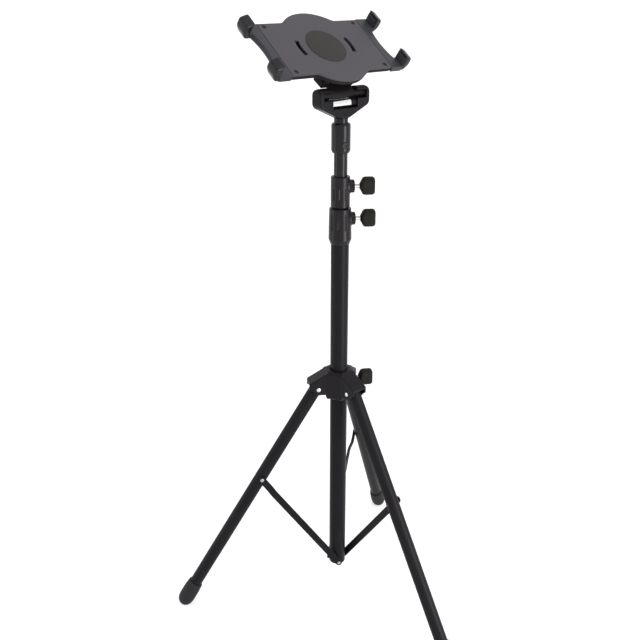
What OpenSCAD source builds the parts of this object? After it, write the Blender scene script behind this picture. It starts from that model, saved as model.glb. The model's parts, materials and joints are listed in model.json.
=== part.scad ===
// Adjustable tablet floor stand: folding tripod, three-stage mast, tilting and turning tablet holder.
// Millimetres, +Z up. The origin is on the floor under the mast, and the holder faces -Y.

/* [Mast] */
// Outer diameter of the fixed column tube
column_d = 25.4; // [22:0.1:32]
// Wall of the three mast tubes
tube_wall = 1.4; // [1:0.1:1.8]
// Gap between one mast tube and the next
tube_gap = 0.3; // [0.2:0.05:0.6]
// Length of the column tube
column_len = 561; // [480:1:650]
// Length of the middle tube
mid_len = 552; // [450:1:600]
// Length of the upper tube
upper_len = 579; // [450:1:620]
// Column tube below the brace pivots
column_tail = 5; // [5:0.5:12]
// Upper tube left showing below the head sleeve
upper_show = 31.8; // [30:0.1:60]

/* [Clamp collars] */
// Grip of the lower collar on the column tube
lower_grip = 25; // [18:0.5:40]
// Height of the lower collar above the column tube
lower_rise = 26; // [24:0.5:36]
// Grip of the upper collar on the middle tube
upper_grip = 17.5; // [14:0.5:30]
// Height of the upper collar above the middle tube
upper_rise = 24.7; // [24:0.1:36]
// Wall of the lower collar around the column tube
lower_wall = 3; // [2:0.1:5]
// Wall of the upper collar around the middle tube
upper_wall = 2.25; // [1.8:0.05:5]
// Height of a clamp screw above the tube end
screw_rise = 10.5; // [9.5:0.5:14]
// Gap between the two collars with the mast lowered
collar_gap = 1.5; // [1:0.1:6]
// Direction of the clamp knobs, seen from above
clamp_angle = -34; // [-45:1:-15]

/* [Clamp screws] */
// Diameter of a clamp screw
screw_d = 5.8; // [5:0.1:6.5]
// Diameter of a clamp pad
pad_d = 8; // [7.5:0.1:9]
// Length of a clamp pad
pad_len = 3.4; // [3:0.1:3.6]
// Retreat of a pad when its knob is slackened
pad_travel = 2; // [1:0.1:2.4]
// Thickness of a nut insert
nut_t = 3; // [2:0.1:4]
// Screw showing between a boss and its knob
screw_show = 7; // [5:0.1:10]
// Width of a knob
knob_w = 26; // [22:0.5:30]
// Thickness of a knob
knob_t = 16; // [12:0.5:20]
// Length of a knob
knob_len = 21; // [18:0.5:28]

/* [Tripod] */
// Diameter of a leg tube
leg_d = 19; // [16:0.5:20]
// Leg length from its pivot to the floor
leg_len = 426.8; // [400:0.1:470]
// Lean of an open leg from upright
leg_splay = 30.85; // [28:0.05:33]
// Distance of the leg pivots from the mast axis
hub_r = 32.5; // [32:0.1:36]
// Distance of the brace pivot down the leg
brace_on_leg = 170; // [160:1:185]
// Length of a brace between pivots
brace_len = 205; // [195:1:215]
// Width of a brace strip
brace_w = 10.5; // [9.5:0.1:13]
// Thickness of a brace strip
brace_t = 2.5; // [1.5:0.1:3]
// Diameter of the pivot rivets
rivet_d = 4.4; // [4:0.1:6.4]
// Widest diameter of a rubber foot
foot_d = 25; // [23:0.1:28]
// Length of a rubber foot on the leg
foot_len = 44; // [38:0.5:52]
// Length of the bore of a rubber foot
foot_grip = 24; // [20:0.5:28]

/* [Hub] */
// Wall of the hub around the column
hub_wall = 6; // [5:0.1:6.2]
// Thickness of a hub cheek beside a leg
cheek_t = 3.6; // [3:0.1:5]
// Hub height above the leg pivots
hub_above = 26.6; // [24:0.1:32]
// Hub depth below the leg pivots
hub_below = 16.4; // [14:0.1:20]
// Running room of the hub on the column
hub_play = 0.6; // [0.55:0.05:0.8]
// Height of the hub's clamp screw above the leg pivots
hub_screw_rise = 9.5; // [4:0.5:12]

/* [Head] */
// Length of the head sleeve
sleeve_len = 39.5; // [34:0.5:50]
// Grip of the head sleeve on the upper tube
sleeve_grip = 23.5; // [18:0.5:24]
// Wall of the head sleeve
sleeve_wall = 3.35; // [2.5:0.05:4]
// Neck showing above the sleeve
neck_len = 7; // [4:0.5:12]
// Width of the yoke
yoke_w = 86; // [78:1:100]
// Thickness of the yoke
yoke_t = 19; // [17:0.5:21]
// Tilt axis above the neck
tilt_rise = 30; // [29:0.5:34]
// Width of the hinge knuckle
knuckle_w = 40; // [34:1:42]
// Diameter of the hinge knuckle
knuckle_d = 11.2; // [10:0.1:12]
// Diameter of the tilt pin
tilt_pin_d = 5; // [4:0.1:6]
// Diameter of the chrome tension bolt
bolt_d = 11.4; // [9:0.1:12]

/* [Holder] */
// Lean of the plate back from upright
tilt_rest = 52.3; // [45:0.1:60]
// Plate centre above the tilt axis, along the plate
centre_up = 59.5; // [56:0.5:66]
// Plate face in front of the tilt axis, square to the plate
centre_out = 27; // [26.5:0.5:32]
// Length of the plate
plate_l = 170; // [164:1:190]
// Height of the plate's straight sides
plate_h = 93.5; // [92:0.5:104]
// Diameter of the round middle of the plate
bulge_d = 127; // [122:0.5:136]
// Thickness of the front plate
front_t = 3; // [2.5:0.1:3.5]
// Thickness of the rear cover
cover_t = 6; // [5.5:0.1:7]
// Diameter of the middle pad
centre_d = 58.4; // [50:0.1:70]
// Radius of the two curved slots
slot_r = 43; // [40:0.5:50]
// Width of the two curved slots
slot_w = 5; // [3:0.5:6]

/* [Jaws] */
// Reach of each jaw beyond the plate, to its gripping face
jaw_reach = 19.5; // [16:0.5:24]
// Height of a jaw
jaw_h = 96; // [92:1:112]
// Height of the hooks above the plate
hook_h = 16; // [13:0.5:20]
// Thickness of the hooks, outwards from their gripping face
hook_t = 11.5; // [9:0.5:14]
// Width of a jaw at its waist
jaw_waist = 13; // [10:0.5:15]
// Width of a hook
hook_w = 20; // [18:0.5:28]
// Length of a jaw tongue inside the holder
tongue_l = 38; // [34:1:40]
// Width of a jaw tongue
tongue_w = 40; // [30:1:46]
// Thickness of a jaw tongue
tongue_t = 2.6; // [2:0.1:2.7]

/* [Hidden] */

$fn = 64;
// Running clearance of a slide or a pivot
fit = 0.05;
// Clearance between faces of different bodies
gap = 0.3;
// Overshoot of a cut past the face that it opens
cut = 1;

// Mast tubes
column_r = column_d / 2;
column_bore = column_r - tube_wall;
mid_r = column_bore - tube_gap;
mid_bore = mid_r - tube_wall;
upper_r = mid_bore - tube_gap;
upper_bore = upper_r - tube_wall;

// Tripod linkage, in the upright plane of one leg
hub_z = leg_len * cos(leg_splay);
brace_top_r = hub_r + brace_on_leg * sin(leg_splay);
brace_top_z = hub_z - brace_on_leg * cos(leg_splay);
brace_lean = asin(brace_top_r / brace_len);
brace_foot_z = brace_top_z - brace_len * cos(brace_lean);
leg_r = leg_d / 2;
rivet_r = rivet_d / 2;
rivet_head_r = rivet_r + 1.1;
rivet_head_t = 1.4;
// Room at the two leg pivots that the fold leaves open
open_play = 0.8;
leg_angles = [-90, 30, 150];
leg_wall = 1.2;
foot_bore = foot_len - foot_grip;
// Widest place of a foot as a share of its length, its narrowing above that and its rounding below
foot_belly = 0.45;
foot_waist = 6;
foot_round = 0.57;
foot_steps = 12;
brace_seat = leg_r + gap;
// Joggle of a brace strip, measured back from its leg pivot
joggle_start = 32;
joggle_end = 16;

// Heights of the mast
column_bottom = brace_foot_z - column_tail;
column_top = column_bottom + column_len;
lower_bottom = column_top - lower_grip;
lower_top = column_top + lower_rise;
lower_screw_z = column_top + screw_rise;
plug_len = 16;
plug_lip = 2;
glide_len = 12;
glide_lip = 8;
// Gap left under a tube that goes down as far as it can
end_gap = 4;
plug_top = column_bottom + plug_lip + plug_len;
mid_top = max(lower_top + collar_gap + upper_grip, plug_top + end_gap + glide_lip + mid_len);
mid_bottom = mid_top - mid_len;
upper_bottom_z = mid_top - upper_grip;
upper_top_z = mid_top + upper_rise;
upper_screw_z = mid_top + screw_rise;
tube_low = mid_bottom + glide_len + end_gap + glide_lip;
tube_top = max(upper_top_z + upper_show + sleeve_grip, tube_low + upper_len);
tube_bottom = tube_top - upper_len;
sleeve_bottom = tube_top - sleeve_grip;
sleeve_top = sleeve_bottom + sleeve_len;

// Collars and bushes
lip_t = 2;
// Cone at the lower collar's foot, its thin end and the slight taper above it
collar_cone = 7;
collar_lip = 0.6;
collar_taper = 0.9;
lower_r = column_r + lower_wall;
upper_collar_r = mid_r + upper_wall;
boss_r = pad_d / 2 + 5;
nut_r = pad_d / 2 + 1.6;
nut_seat = pad_len + pad_travel + 2 * gap;
screw_r = screw_d / 2;
// Side room of a pad and of a nut in a boss
pad_room = 0.1;
// Length of a boss beyond the tube that its screw clamps
boss_len = gap + nut_seat + nut_t + 0.4;
lower_boss = mid_r + boss_len;
upper_boss = upper_r + boss_len;
hub_boss = column_r + boss_len;

// Hub
hub_bore = column_r + hub_play;
hub_ring = hub_bore + hub_wall;
slot_half = leg_r + 0.55;
cheek = slot_half + cheek_t;
leg_head = 7;
slot_round = norm([leg_r, leg_head]) + 0.6;
arm_end = hub_r + slot_round + 1.2;
// Height of an arm's tip above the pivot, and the land around a rivet head
arm_tip = 9;
arm_land = 6;
// Depth of an arm below its pivot, and the step from there to the ring
arm_drop = rivet_head_r + arm_land + 0.6;
arm_step = 3;
// Height of the opening in an arm's end, above the pivot
front_open = 6;
// Flat web between two arms: its distance from the mast axis, its top's fall and its half width
web_r = hub_ring + 2.8;
web_fall = 2.6;
web_half = (web_r * sin(60) - cheek + cut / 2) / cos(60);
hub_screw_z = hub_z + hub_screw_rise;
hub_knob_angle = -30;

// Head
sleeve_r = upper_r + fit + sleeve_wall;
neck_r = upper_r;
yoke_bottom = sleeve_top + neck_len;
tilt_z = yoke_bottom + tilt_rise;
knuckle_r = knuckle_d / 2;
washer_t = 1;
yoke_gap = knuckle_w / 2 + washer_t + gap;
yoke_shoulder = 15;
bolt_r = bolt_d / 2;
// Room above and below the tension bolt
bolt_room = 0.4;
bolt_z = tilt_z - knuckle_r - bolt_r - bolt_room;
bolt_y = -2;
yoke_floor = bolt_z - bolt_r - bolt_room;
bolt_end = 11;
// Thin end of the tension bolt, as a share of its radius
bolt_thin = 0.55;
// Depth of the tension bolt's ends in the yoke
bolt_seat = 4;
// Yoke wall left outside the tilt pin's ends
pin_wall = 3;
yoke_corner = 6;
// Fixed barrels beside the knuckle, and the window that shows them
window_half = 37;
window_back = 1;
// Room under the knuckle
knuckle_room = 1;
set_screw_r = 2.4;
set_screw_z = 11;
set_screw_angle = -106;
set_screw_slot = 0.7;

// Holder, in the plate's own frame: X along it, Y up it, Z out of its face
bulge_r = bulge_d / 2;
edge_fillet = 10;
cover_inset = 0.8;
back = -front_t - cover_t;
disc_r = 30;
disc_t = 4.7;
disc_back = back - gap - disc_t;
arm_w = knuckle_w - 4;
// Wings of the bracket: their half width and their start above the tilt axis
wing_half = 34;
wing_start = 12;
swivel_r = 4;
jaw_parting = 0.4;
jaw_inner = plate_l / 2 + jaw_parting;
jaw_grip = plate_l / 2 + jaw_reach;
jaw_pad_t = 1.2;
jaw_low = back + 1;
// Lip at the top of a hook, over the gripping face
hook_lip = 1.2;
lip_fall = 3;
// Bevel under a hook's outer edge
hook_bevel = 5.5;
channel_top = -front_t;
tongue_gap = 0.2;
channel_low = channel_top - tongue_t - 2 * tongue_gap;
tongue_inner = jaw_inner - tongue_l;
spring_r = 1.2;
spring_start = swivel_r + 5;
screw_x = plate_l / 2 - 9;
screw_y = plate_h / 2 - 6;
plate_screw_r = 1.5;
plate_head_r = 3;
plate_head_t = 1.1;
swivel_head_r = swivel_r + 3;
swivel_head_t = 2.5;
swivel_nut_t = 3.8;
swivel_seat = back + 3;
centre_pad_t = 0.8;
// Half the angle that a curved slot spans
slot_sweep = 18;
waist_r = 100;

// Frames that the pieces are drawn in
module at_clamp(z) {
    rotate([0, 0, clamp_angle]) translate([0, 0, z]) children();
}
module along_x(x) {
    translate([x, 0, 0]) rotate([0, 90, 0]) children();
}
module at_leg(i) {
    rotate([0, 0, leg_angles[i]]) children();
}
module at_pivot(i) {
    at_leg(i) translate([hub_r, 0, hub_z]) rotate([0, -leg_splay, 0]) children();
}
module at_brace(i) {
    at_leg(i) translate([0, 0, brace_foot_z]) rotate([0, brace_lean, 0]) children();
}
module across(y, h, r) {
    translate([0, y, 0]) rotate([-90, 0, 0]) cylinder(h = h, r = r);
}
module at_holder() {
    translate([0, 0, tilt_z]) rotate([90 - tilt_rest, 0, 0]) translate([0, centre_up, centre_out]) children();
}

// Shapes that several pieces share
module tube(r, bore, z0, z1) {
    translate([0, 0, z0]) difference() {
        cylinder(h = z1 - z0, r = r);
        translate([0, 0, -cut]) cylinder(h = z1 - z0 + 2 * cut, r = bore);
    }
}
module rivet_head() {
    rim = rivet_head_t * 0.4;
    cylinder(h = rim, r = rivet_head_r);
    translate([0, 0, rim]) cylinder(h = rivet_head_t - rim, r1 = rivet_head_r, r2 = rivet_head_r * 0.6);
}
// Rivet along +Y from y0 to y1, with a head at its far end
module rivet(y0, y1) {
    across(y0, y1 - y0, rivet_r);
    translate([0, y1, 0]) rotate([-90, 0, 0]) rivet_head();
}
// Room for a clamp pad, its nut and its screw, around a tube of the given radius
module clamp_cuts(tube_radius, boss_end) {
    seat = tube_radius + gap + nut_seat;
    along_x(0) cylinder(h = seat, r = pad_d / 2 + pad_room);
    along_x(seat - pad_room) cylinder(h = boss_end, r = nut_r + pad_room, $fn = 6);
}
module clamp_pad(tube_radius) {
    along_x(tube_radius + gap) cylinder(h = pad_len, r = pad_d / 2);
}
module clamp_nut(tube_radius) {
    along_x(tube_radius + gap + nut_seat) difference() {
        cylinder(h = nut_t, r = nut_r, $fn = 6);
        translate([0, 0, -cut]) cylinder(h = nut_t + 2 * cut, r = screw_r + fit);
    }
}
module clamp_screw(tube_radius, boss_end) {
    start = tube_radius + gap + pad_len + fit;
    along_x(start) cylinder(h = boss_end + screw_show + knob_len / 2 - start, r = screw_r);
}
// Wing knob: a turned profile trimmed to a flat-sided paddle
module clamp_knob(boss_end) {
    neck = screw_r + 1;
    half = knob_w / 2;
    ease = 4;
    along_x(boss_end + screw_show) difference() {
        intersection() {
            rotate_extrude() union() {
                polygon([[0, 0], [neck, 0], [half - 2, knob_len * 0.22], [half, knob_len * 0.34],
                         [half, knob_len - ease], [half - ease, knob_len], [0, knob_len]]);
                translate([half - ease, knob_len - ease]) circle(r = ease);
            }
            linear_extrude(knob_len) union() {
                square([knob_w - knob_t, knob_t], center = true);
                for (s = [-1, 1]) translate([s * (knob_w - knob_t) / 2, 0]) circle(d = knob_t);
            }
        }
        translate([0, 0, -cut]) cylinder(h = knob_len / 2 + cut, r = screw_r);
    }
}

// Column and its lower end
module column_tube() color([0.07, 0.07, 0.08]) difference() {
    tube(column_r, column_bore, column_bottom + plug_lip, column_top);
    for (i = [0:2]) at_leg(i) translate([0, 0, brace_foot_z]) across(0, column_d, rivet_r + fit);
}
module column_plug() color([0.05, 0.05, 0.05]) difference() {
    union() {
        translate([0, 0, column_bottom]) cylinder(h = plug_lip, r1 = column_r - plug_lip, r2 = column_r);
        translate([0, 0, column_bottom + plug_lip]) cylinder(h = plug_len, r = column_bore - fit);
    }
    for (i = [0:2]) at_leg(i) translate([0, 0, brace_foot_z]) across(0, column_d, rivet_r + fit);
    translate([0, 0, column_bottom + 2 * plug_lip]) cylinder(h = plug_len, r = column_bore / 2);
}
module column_rivets() color([0.8, 0.8, 0.82]) for (i = [0:2]) at_leg(i) translate([0, 0, brace_foot_z]) {
    rivet(column_bore / 2 + 0.5, column_r + gap + brace_t + 0.1);
}
module lower_collar() color([0.06, 0.06, 0.07]) difference() {
    union() {
        translate([0, 0, lower_bottom]) cylinder(h = collar_cone, r1 = column_r + collar_lip, r2 = lower_r);
        translate([0, 0, lower_bottom + collar_cone]) {
            cylinder(h = lower_top - lower_bottom - collar_cone, r1 = lower_r, r2 = lower_r - collar_taper);
        }
        at_clamp(lower_screw_z) along_x(column_r) cylinder(h = lower_boss - column_r, r = boss_r);
    }
    translate([0, 0, lower_bottom - cut]) {
        cylinder(h = lower_top - lip_t - lower_bottom + cut, r = column_r + fit);
    }
    translate([0, 0, lower_top - lip_t - cut]) cylinder(h = lip_t + 2 * cut, r = mid_r + gap);
    at_clamp(lower_screw_z) clamp_cuts(mid_r, lower_boss);
}
module lower_bush() color([0.75, 0.75, 0.72]) difference() {
    tube(column_r, mid_r + fit, column_top, lower_top - lip_t);
    at_clamp(lower_screw_z) along_x(0) cylinder(h = column_d, r = pad_d / 2 + pad_room);
}
module lower_nut() color([0.7, 0.6, 0.35]) at_clamp(lower_screw_z) clamp_nut(mid_r);
module lower_pad() color([0.2, 0.2, 0.2]) at_clamp(lower_screw_z) clamp_pad(mid_r);
module lower_screw() color([0.75, 0.75, 0.77]) at_clamp(lower_screw_z) clamp_screw(mid_r, lower_boss);
module lower_knob() color([0.1, 0.1, 0.09]) at_clamp(lower_screw_z) clamp_knob(lower_boss);

// Middle tube and the upper collar that it carries
module mid_tube() color([0.07, 0.07, 0.08]) tube(mid_r, mid_bore, mid_bottom, mid_top);
module mid_glide() color([0.75, 0.75, 0.72]) {
    tube(column_bore - fit, mid_bore / 2, mid_bottom - glide_lip, mid_bottom);
    tube(mid_bore - fit, mid_bore / 2, mid_bottom, mid_bottom + glide_len);
}
module upper_collar() color([0.06, 0.06, 0.07]) difference() {
    union() {
        translate([0, 0, upper_bottom_z]) cylinder(h = upper_top_z - upper_bottom_z, r = upper_collar_r);
        at_clamp(upper_screw_z) along_x(mid_r) cylinder(h = upper_boss - mid_r, r = boss_r);
    }
    translate([0, 0, upper_bottom_z - cut]) {
        cylinder(h = upper_top_z - lip_t - upper_bottom_z + cut, r = mid_r + fit);
    }
    translate([0, 0, upper_top_z - lip_t - cut]) cylinder(h = lip_t + 2 * cut, r = upper_r + gap);
    at_clamp(upper_screw_z) clamp_cuts(upper_r, upper_boss);
}
module upper_bush() color([0.75, 0.75, 0.72]) difference() {
    tube(mid_r, upper_r + fit, mid_top, upper_top_z - lip_t);
    at_clamp(upper_screw_z) along_x(0) cylinder(h = column_d, r = pad_d / 2 + pad_room);
}
module upper_nut() color([0.7, 0.6, 0.35]) at_clamp(upper_screw_z) clamp_nut(upper_r);
module upper_pad() color([0.2, 0.2, 0.2]) at_clamp(upper_screw_z) clamp_pad(upper_r);
module upper_screw() color([0.75, 0.75, 0.77]) at_clamp(upper_screw_z) clamp_screw(upper_r, upper_boss);
module upper_knob() color([0.1, 0.1, 0.09]) at_clamp(upper_screw_z) clamp_knob(upper_boss);

// Upper tube
module upper_tube() color([0.07, 0.07, 0.08]) tube(upper_r, upper_bore, tube_bottom, tube_top);
module upper_glide() color([0.75, 0.75, 0.72]) {
    tube(mid_bore - fit, upper_bore / 2, tube_bottom - glide_lip, tube_bottom);
    tube(upper_bore - fit, upper_bore / 2, tube_bottom, tube_bottom + glide_len);
}

// Head: sleeve, yoke and tilt hinge
module at_set_screw() {
    rotate([0, 0, set_screw_angle]) translate([0, 0, sleeve_bottom + set_screw_z]) children();
}
module head_sleeve() color([0.07, 0.07, 0.08]) difference() {
    tube(sleeve_r, upper_r + fit, sleeve_bottom, sleeve_top);
    at_set_screw() along_x(0) cylinder(h = column_d, r = set_screw_r);
}
module sleeve_screw() color([0.75, 0.75, 0.77]) at_set_screw() along_x(upper_r + gap) difference() {
    cylinder(h = sleeve_wall, r = set_screw_r);
    translate([0, 0, sleeve_wall]) cube([set_screw_slot, 2 * set_screw_r + cut, 2 * cut], center = true);
}
module yoke_front() {
    top = tilt_z + yoke_t / 2;
    half = yoke_w / 2;
    shoulder = yoke_bottom + yoke_shoulder;
    corner = half - yoke_corner;
    polygon([[-neck_r, yoke_bottom], [neck_r, yoke_bottom], [half, shoulder], [half, top - yoke_corner],
             [corner, top], [-corner, top], [-half, top - yoke_corner], [-half, shoulder]]);
    for (s = [-1, 1]) translate([s * corner, top - yoke_corner]) circle(r = yoke_corner);
}
module yoke_side() {
    translate([-yoke_t / 2, yoke_bottom - cut]) square([yoke_t, tilt_rise + cut]);
    translate([0, tilt_z]) circle(d = yoke_t);
}
// Opening in the front face that shows the hinge barrels
module yoke_window() {
    translate([-window_half, -yoke_t, tilt_z - knuckle_r - knuckle_room]) {
        cube([2 * window_half, yoke_t - window_back, 1.7 * knuckle_r + knuckle_room]);
    }
}
module yoke_body() {
    difference() {
        intersection() {
            rotate([90, 0, 0]) linear_extrude(yoke_t, center = true) yoke_front();
            rotate([90, 0, 90]) linear_extrude(yoke_w, center = true) yoke_side();
        }
        yoke_window();
    }
    translate([0, 0, tilt_z]) along_x(-window_half) cylinder(h = 2 * window_half, r = knuckle_r);
    translate([0, 0, tube_top + 1]) cylinder(h = yoke_bottom - tube_top - 1 + cut, r = neck_r);
}
module head_yoke() color([0.06, 0.06, 0.07]) difference() {
    yoke_body();
    translate([-yoke_gap, -yoke_t, yoke_floor]) {
        cube([2 * yoke_gap, yoke_t + bolt_y + bolt_r + cut, 2 * tilt_rise]);
    }
    translate([-yoke_gap, -yoke_t, tilt_z - knuckle_r - knuckle_room]) {
        cube([2 * yoke_gap, 2 * yoke_t, 2 * tilt_rise]);
    }
    translate([0, 0, tilt_z]) along_x(-yoke_w / 2 + pin_wall) {
        cylinder(h = yoke_w - 2 * pin_wall, r = tilt_pin_d / 2 + fit);
    }
    translate([0, bolt_y, bolt_z]) {
        along_x(-yoke_gap - bolt_seat) cylinder(h = yoke_gap, r = bolt_r + fit);
        along_x(0) cylinder(h = yoke_gap + 2 * bolt_seat, r = bolt_r * bolt_thin + fit);
    }
}
module tilt_pin() color([0.75, 0.75, 0.77]) translate([0, 0, tilt_z]) {
    along_x(-yoke_w / 2 + pin_wall + gap) cylinder(h = yoke_w - 2 * pin_wall - 2 * gap, r = tilt_pin_d / 2);
}
module tilt_washers() color([0.7, 0.7, 0.7]) translate([0, 0, tilt_z]) for (s = [0, 1]) mirror([s, 0, 0]) {
    along_x(yoke_gap - washer_t - fit / 2) difference() {
        cylinder(h = washer_t, r = knuckle_r - gap);
        translate([0, 0, -cut]) cylinder(h = washer_t + 2 * cut, r = tilt_pin_d / 2 + fit);
    }
}
module tension_bolt() color([0.85, 0.85, 0.87]) translate([0, bolt_y, bolt_z]) {
    along_x(-yoke_gap - bolt_seat + gap) cylinder(h = yoke_gap + bolt_seat - gap + bolt_end, r = bolt_r);
    along_x(bolt_end) cylinder(h = yoke_gap + 2 * bolt_seat - gap - bolt_end, r = bolt_r * bolt_thin);
}
module tension_nut() color([0.1, 0.1, 0.1]) translate([0, bolt_y, bolt_z]) {
    along_x(bolt_end + fit) difference() {
        cylinder(h = yoke_gap - bolt_end - 2 * fit, r = bolt_r * 0.95, $fn = 6);
        translate([0, 0, -cut]) cylinder(h = yoke_gap + 2 * cut, r = bolt_r * bolt_thin + fit);
    }
}

// Bracket between the tilt hinge and the turning disc
module bracket_side() {
    hinge = [-centre_up, -centre_out];
    polygon([hinge + [-1, knuckle_r], [-disc_r * 0.95, disc_back + 2.5], [-disc_r * 0.4, disc_back + 2.5],
             [-disc_r * 0.4, disc_back - 1], [-disc_r * 0.8, disc_back - 5], hinge + [5, -2.5], hinge]);
}
module bracket_plan() {
    neck = arm_w / 2;
    low = -centre_up + wing_start;
    foot = -centre_up - knuckle_d;
    head = -disc_r * 0.4;
    for (s = [0, 1]) mirror([s, 0]) {
        polygon([[-cut, foot], [neck, foot], [neck, low], [wing_half * 0.8, low],
                 [wing_half, low + wing_start], [disc_r * 0.8, head], [-cut, head]]);
    }
}
module at_hinge() {
    translate([0, -centre_up, -centre_out]) children();
}
module swivel_bracket() color([0.06, 0.06, 0.07]) at_holder() difference() {
    union() {
        translate([0, 0, disc_back]) cylinder(h = disc_t, r = disc_r);
        intersection() {
            rotate([90, 0, 90]) linear_extrude(2 * wing_half, center = true) bracket_side();
            linear_extrude(4 * centre_out, center = true) bracket_plan();
        }
        at_hinge() along_x(-knuckle_w / 2) cylinder(h = knuckle_w, r = knuckle_r);
    }
    at_hinge() along_x(-knuckle_w) cylinder(h = 2 * knuckle_w, r = tilt_pin_d / 2 + fit);
    translate([0, 0, disc_back - cut]) cylinder(h = disc_t + 2 * cut, r = swivel_r + fit);
}

// Turning holder
module swivel_bolt() color([0.75, 0.75, 0.77]) at_holder() {
    bolt_low = disc_back - gap - swivel_nut_t - cut;
    translate([0, 0, bolt_low]) cylinder(h = swivel_seat - bolt_low, r = swivel_r);
    translate([0, 0, swivel_seat]) cylinder(h = swivel_head_t, r = swivel_head_r);
}
module swivel_nut() color([0.4, 0.4, 0.42]) at_holder() translate([0, 0, disc_back - gap - swivel_nut_t]) {
    difference() {
        cylinder(h = swivel_nut_t, r = swivel_head_r, $fn = 6);
        translate([0, 0, -cut]) cylinder(h = swivel_nut_t + 2 * cut, r = swivel_r + fit);
    }
}
// Plate outline: a rectangle with a round middle and filleted corners between the two
module plate_outline(inset) {
    half_l = plate_l / 2 - inset;
    half_h = plate_h / 2 - inset;
    round_r = bulge_r - inset;
    fillet_y = half_h + edge_fillet;
    fillet_x = sqrt(pow(round_r + edge_fillet, 2) - pow(fillet_y, 2));
    touch = round_r / (round_r + edge_fillet);
    square([2 * half_l, 2 * half_h], center = true);
    circle(r = round_r, $fn = 128);
    for (sx = [-1, 1]) for (sy = [-1, 1]) scale_sign(sx, sy) difference() {
        polygon([[fillet_x, half_h - cut], [fillet_x, half_h], [fillet_x * touch, fillet_y * touch],
                 [fillet_x * touch - cut, half_h - cut]]);
        translate([fillet_x, fillet_y]) circle(r = edge_fillet);
    }
}
module scale_sign(sx, sy) {
    mirror([sx < 0 ? 1 : 0, 0]) mirror([0, sy < 0 ? 1 : 0]) children();
}
module at_plate_screws() {
    for (sx = [-1, 1]) for (sy = [-1, 1]) translate([sx * screw_x, sy * screw_y, 0]) children();
}
module front_plate() color([0.19, 0.18, 0.2]) at_holder() difference() {
    translate([0, 0, -front_t]) linear_extrude(front_t) plate_outline(0);
    for (s = [0, 180]) rotate([0, 0, s - slot_sweep]) translate([0, 0, -front_t - cut]) {
        rotate_extrude(angle = 2 * slot_sweep) {
            translate([slot_r - slot_w / 2, 0]) square([slot_w, front_t + 2 * cut]);
        }
    }
    at_plate_screws() {
        translate([0, 0, -plate_head_t - fit]) cylinder(h = front_t, r = plate_head_r + fit);
        translate([0, 0, -front_t - cut]) cylinder(h = front_t + 2 * cut, r = plate_screw_r + fit);
    }
}
module rear_cover() color([0.1, 0.1, 0.11]) at_holder() difference() {
    translate([0, 0, back]) linear_extrude(cover_t) plate_outline(cover_inset);
    for (s = [-1, 1]) translate([s < 0 ? -plate_l : spring_start - cut, -tongue_w / 2 - gap, channel_low]) {
        cube([plate_l - spring_start + cut, tongue_w + 2 * gap, channel_top - channel_low + cut]);
    }
    translate([0, 0, swivel_seat]) cylinder(h = cover_t, r = swivel_head_r + gap);
    translate([0, 0, back - cut]) cylinder(h = cover_t, r = swivel_r + fit);
    at_plate_screws() translate([0, 0, back + plate_screw_r]) cylinder(h = cover_t, r = plate_screw_r + fit);
}
module centre_pad() color([0.24, 0.22, 0.22]) at_holder() cylinder(h = centre_pad_t, d = centre_d);
module plate_screws() color([0.3, 0.3, 0.32]) at_holder() at_plate_screws() {
    translate([0, 0, -plate_head_t - fit]) cylinder(h = plate_head_t, r = plate_head_r);
    translate([0, 0, back + plate_screw_r + gap]) {
        cylinder(h = -back - plate_screw_r - gap - plate_head_t - fit, r = plate_screw_r);
    }
}
module jaw_springs() color([0.7, 0.7, 0.72]) at_holder() for (s = [0, 1]) mirror([s, 0, 0]) {
    translate([0, 0, channel_low + spring_r + tongue_gap]) along_x(spring_start) difference() {
        cylinder(h = tongue_inner - gap - spring_start, r = spring_r);
        translate([0, 0, -cut]) cylinder(h = plate_l, r = spring_r * 0.5);
    }
}

// One sliding jaw, on the +X side: bar, tongue and two hooks
module jaw_bar() {
    difference() {
        translate([jaw_inner, -jaw_h / 2]) square([jaw_grip + cut - jaw_inner, jaw_h]);
        translate([jaw_inner + jaw_waist + waist_r, 0]) circle(r = waist_r, $fn = 128);
    }
}
module hook_side() {
    outer = jaw_grip + hook_t;
    polygon([[jaw_grip - cut, jaw_low], [outer - hook_bevel, jaw_low], [outer, hook_h * 0.06],
             [outer - 0.5, hook_h * 0.66], [outer - 2, hook_h * 0.78], [jaw_grip + 1, hook_h],
             [jaw_grip - hook_lip, hook_h - 0.5], [jaw_grip - hook_lip, hook_h - 1.5],
             [jaw_grip, hook_h - lip_fall], [jaw_grip, 0], [jaw_grip - cut, 0]]);
}
module at_hooks() {
    for (s = [-1, 1]) translate([0, s * (jaw_h - hook_w) / 2, 0]) children();
}
module jaw() {
    translate([0, 0, jaw_low]) linear_extrude(-jaw_low) jaw_bar();
    translate([tongue_inner, -tongue_w / 2, channel_low + tongue_gap]) {
        cube([tongue_l + cut, tongue_w, tongue_t]);
    }
    at_hooks() rotate([90, 0, 0]) linear_extrude(hook_w, center = true) hook_side();
}
module jaw_pads() {
    pad_side = 2;
    pad_low = 0.5;
    at_hooks() translate([jaw_grip - jaw_pad_t, -hook_w / 2 + pad_side, pad_low]) {
        cube([jaw_pad_t, hook_w - 2 * pad_side, hook_h - lip_fall - 2 * pad_low]);
    }
}
module left_jaw() color([0.13, 0.14, 0.17]) at_holder() mirror([1, 0, 0]) jaw();
module left_jaw_pads() color([0.05, 0.05, 0.05]) at_holder() mirror([1, 0, 0]) jaw_pads();
module right_jaw() color([0.13, 0.14, 0.17]) at_holder() jaw();
module right_jaw_pads() color([0.05, 0.05, 0.05]) at_holder() jaw_pads();

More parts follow.
